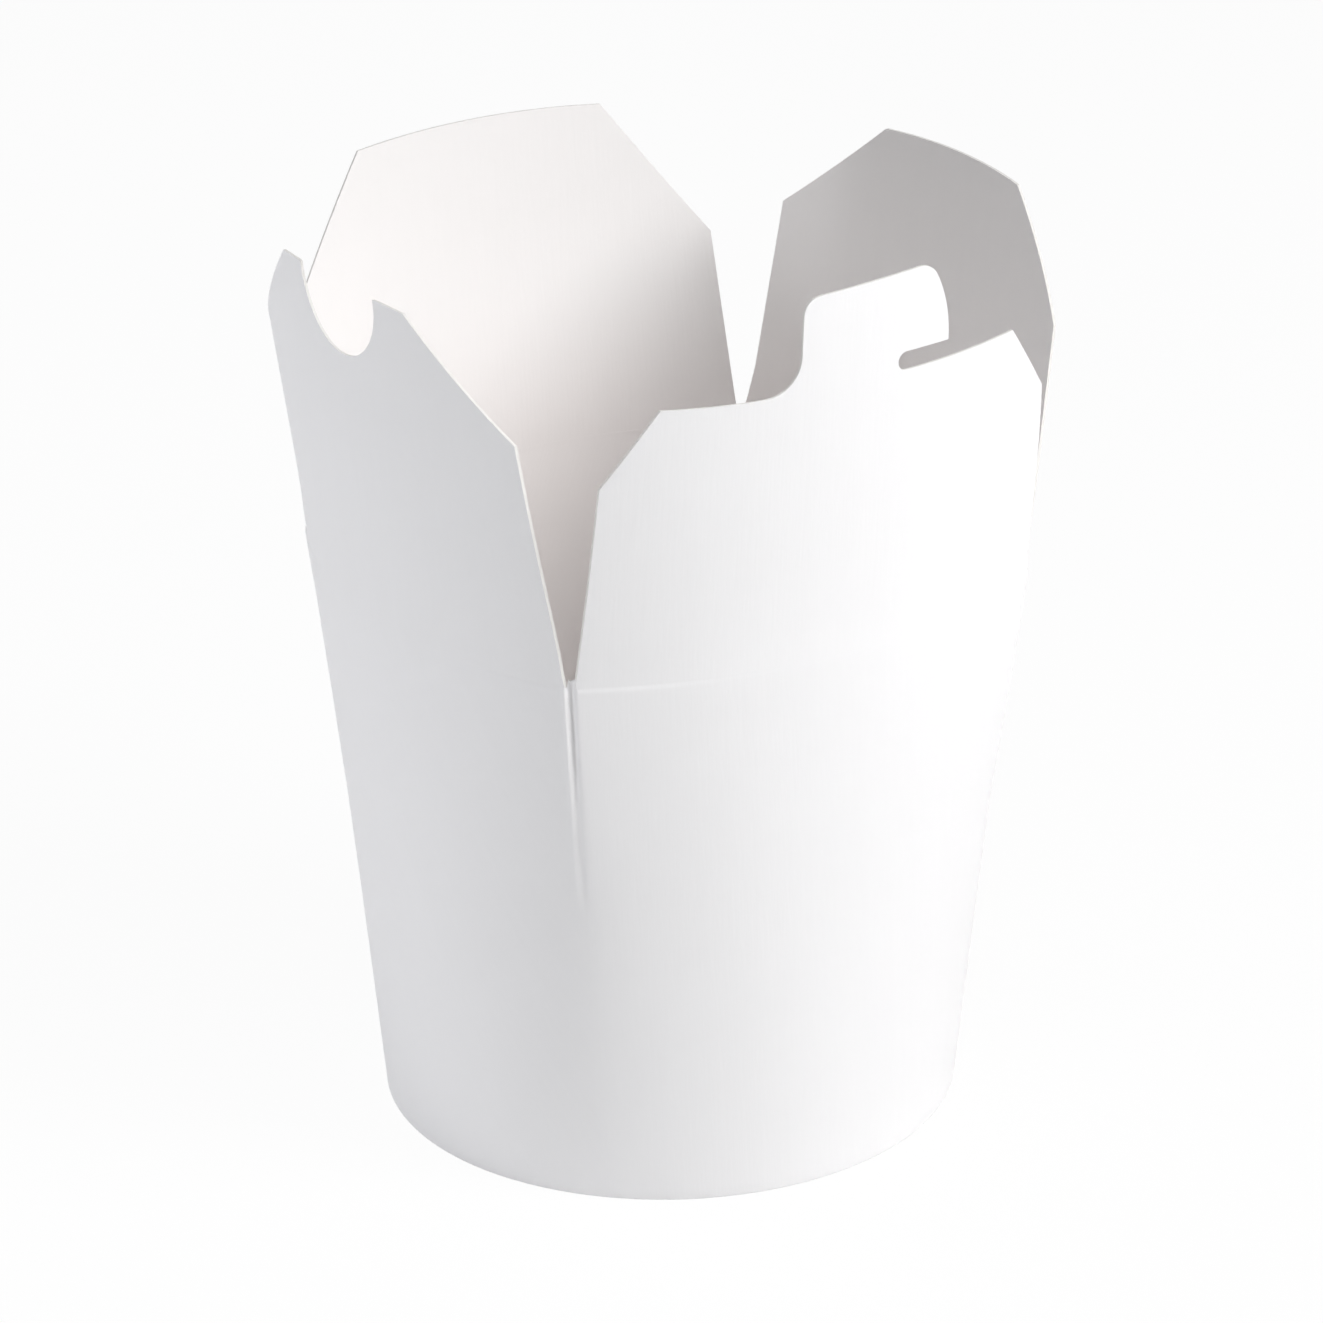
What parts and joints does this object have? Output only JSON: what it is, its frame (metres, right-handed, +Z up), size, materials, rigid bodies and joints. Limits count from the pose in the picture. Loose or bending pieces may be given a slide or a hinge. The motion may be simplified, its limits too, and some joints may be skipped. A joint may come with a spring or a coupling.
{
  "type": "takeout food box",
  "caption": "Tall folded paperboard food box with a round foot, a squarish mouth and standing closing flaps, one with a hook and one with a notch.",
  "frame": {"origin": "middle of the round foot, on the surface that the box stands on", "axes": "+Z up, -Y towards the flap with the hook, -X towards the flap with the notch"},
  "size_m": [0.1169, 0.1164, 0.1572],
  "materials": {
    "board": "smooth white food board, matt with a faint sheen",
    "base_board": "smooth white food board, matt"
  },
  "bodies": {
    "carton": {"side_wall": "board", "base_disc": "base_board"},
    "hook_flap": {"hook_flap": "board"},
    "right_flap": {"right_flap": "board"},
    "rear_flap": {"rear_flap": "board"},
    "notch_flap": {"notch_flap": "board"}
  },
  "joints": [
    {"name": "hook_flap_fold", "type": "hinge", "parent": "carton", "child": "hook_flap", "pos_m": [0, -0.04245, 0.0951], "axis": [-1, 0, 0], "range_deg": [0, 58]},
    {"name": "right_flap_fold", "type": "hinge", "parent": "carton", "child": "right_flap", "pos_m": [0.04245, 0, 0.0951], "axis": [0, -1, 0], "range_deg": [0, 105]},
    {"name": "rear_flap_fold", "type": "hinge", "parent": "carton", "child": "rear_flap", "pos_m": [0, 0.04245, 0.0951], "axis": [1, 0, 0], "range_deg": [0, 66]},
    {"name": "notch_flap_fold", "type": "hinge", "parent": "carton", "child": "notch_flap", "pos_m": [-0.04245, 0, 0.0951], "axis": [0, 1, 0], "range_deg": [0, 96]}
  ]
}
